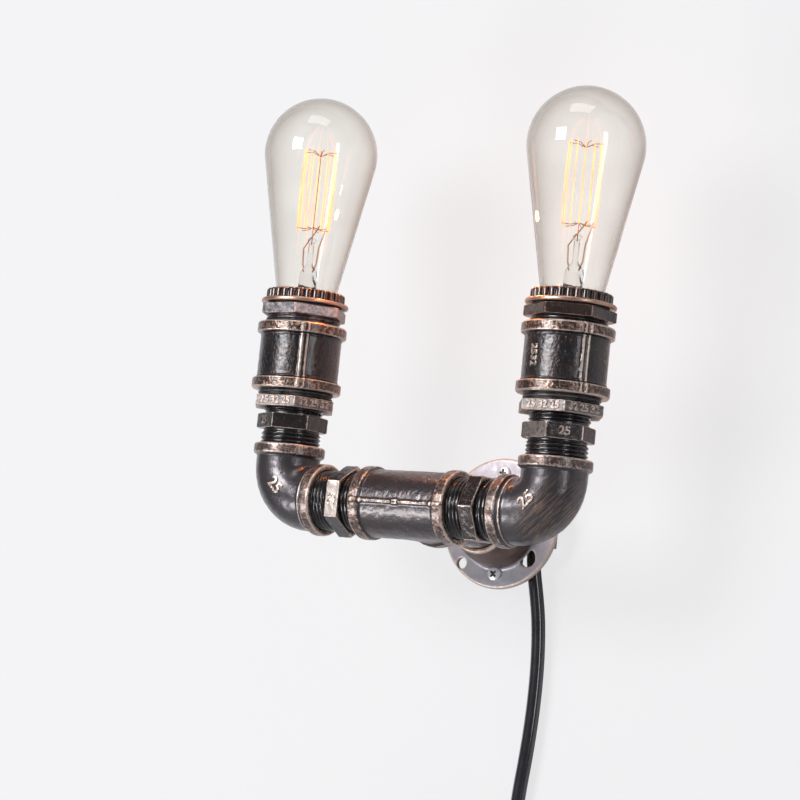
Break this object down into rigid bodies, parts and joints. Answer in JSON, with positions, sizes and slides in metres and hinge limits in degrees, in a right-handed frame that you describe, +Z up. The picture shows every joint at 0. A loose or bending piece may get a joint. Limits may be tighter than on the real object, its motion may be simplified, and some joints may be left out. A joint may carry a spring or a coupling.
{
  "type": "industrial pipe wall light",
  "caption": "Industrial wall light of threaded pipe fittings: a round flange, a tee and elbows with upright arms, each holding a tapered filament bulb",
  "frame": {"origin": "on the wall, behind the middle of the flange, on the back face of the mounting strip", "axes": "+X along the run of pipe to the viewer's right, +Y into the wall, +Z up along the arms"},
  "size_m": [0.236, 0.1405, 0.5537],
  "materials": {
    "zinc_plate": "bright zinc plate",
    "brass": "bright brass",
    "flange_lacquer": "satin graphite lacquer rubbed through to copper at the edge",
    "dark_iron": "lumpy near-black lacquered casting with brown worn beads",
    "worn_iron": "dark lacquer with bright coppery worn hexagon edges, glossy black threads",
    "grey_iron": "mottled grey casting",
    "gasket_rubber": "matte black",
    "aged_bronze": "dark bronze with worn coppery edges",
    "phenolic": "black moulded insulation",
    "amber_glass": "thin amber-tinted blown glass",
    "clear_glass": "clear glass",
    "black_glaze": "black glassy insulation",
    "solder": "bright solder",
    "support_wire": "drawn wire",
    "wire_insulation": "smooth insulation",
    "earth_insulation": "green insulation",
    "connector_white": "moulded sleeve",
    "cord_black": "glossy black flexible cord",
    "tie_black": "woven hook-and-loop band",
    "glowing_wire": "lit filament, warm orange"
  },
  "bodies": {
    "wall_side": {"cord": "cord_black", "cord_coil": "cord_black", "cord_saddle": "zinc_plate", "cord_tie": "tie_black", "earth_screw": "brass", "earth_wire": "earth_insulation", "flange_screws": "zinc_plate", "left_run_nipple": "worn_iron", "plug_blades": "brass", "plug_body": "cord_black", "plug_earth_pin": "brass", "right_run_nipple": "worn_iron", "run_wires": "wire_insulation", "saddle_screws": "zinc_plate", "supply_wires": "wire_insulation", "tee": "dark_iron", "wall_bracket": "zinc_plate", "wall_flange": "flange_lacquer", "wall_pipe": "dark_iron", "wire_connectors": "connector_white"},
    "left_arm": {"left_elbow": "dark_iron", "left_riser_nipple": "worn_iron", "left_lower_bushing": "grey_iron", "left_coupling": "dark_iron", "left_upper_bushing": "grey_iron", "left_gasket": "gasket_rubber", "left_lampholder_body": "phenolic", "left_screw_shell": "brass", "left_centre_contact": "brass", "left_terminal_screws": "brass", "left_arm_wires": "wire_insulation"},
    "left_ring": {"left_socket_ring": "aged_bronze"},
    "left_bulb": {"left_bulb_glass": "amber_glass", "left_bulb_cap": "brass", "left_cap_insulator": "black_glaze", "left_tip_contact": "solder", "left_glass_stem": "clear_glass", "left_filament_supports": "support_wire", "left_filament": "glowing_wire"},
    "right_arm": {"right_elbow": "dark_iron", "right_riser_nipple": "worn_iron", "right_lower_bushing": "grey_iron", "right_coupling": "dark_iron", "right_upper_bushing": "grey_iron", "right_gasket": "gasket_rubber", "right_lampholder_body": "phenolic", "right_screw_shell": "brass", "right_centre_contact": "brass", "right_terminal_screws": "brass", "right_arm_wires": "wire_insulation"},
    "right_ring": {"right_socket_ring": "aged_bronze"},
    "right_bulb": {"right_bulb_glass": "amber_glass", "right_bulb_cap": "brass", "right_cap_insulator": "black_glaze", "right_tip_contact": "solder", "right_glass_stem": "clear_glass", "right_filament_supports": "support_wire", "right_filament": "glowing_wire"}
  },
  "joints": [
    {"name": "left_arm_tilt", "type": "hinge", "parent": "wall_side", "child": "left_arm", "pos_m": [-0.086, -0.1085, 0], "axis": [1, 0, 0], "range_deg": [-20, 180]},
    {"name": "left_ring_turn", "type": "hinge", "parent": "left_arm", "child": "left_ring", "pos_m": [-0.086, -0.1085, 0.1], "axis": [0, 0, 1], "range_deg": [-20, 340]},
    {"name": "left_bulb_lift", "type": "slide", "parent": "left_arm", "child": "left_bulb", "axis": [0, 0, 1], "range_m": [0, 0.03]},
    {"name": "right_arm_tilt", "type": "hinge", "parent": "wall_side", "child": "right_arm", "pos_m": [0.086, -0.1085, 0], "axis": [1, 0, 0], "range_deg": [-20, 180]},
    {"name": "right_ring_turn", "type": "hinge", "parent": "right_arm", "child": "right_ring", "pos_m": [0.086, -0.1085, 0.1], "axis": [0, 0, 1], "range_deg": [-20, 340]},
    {"name": "right_bulb_lift", "type": "slide", "parent": "right_arm", "child": "right_bulb", "axis": [0, 0, 1], "range_m": [0, 0.03]}
  ]
}
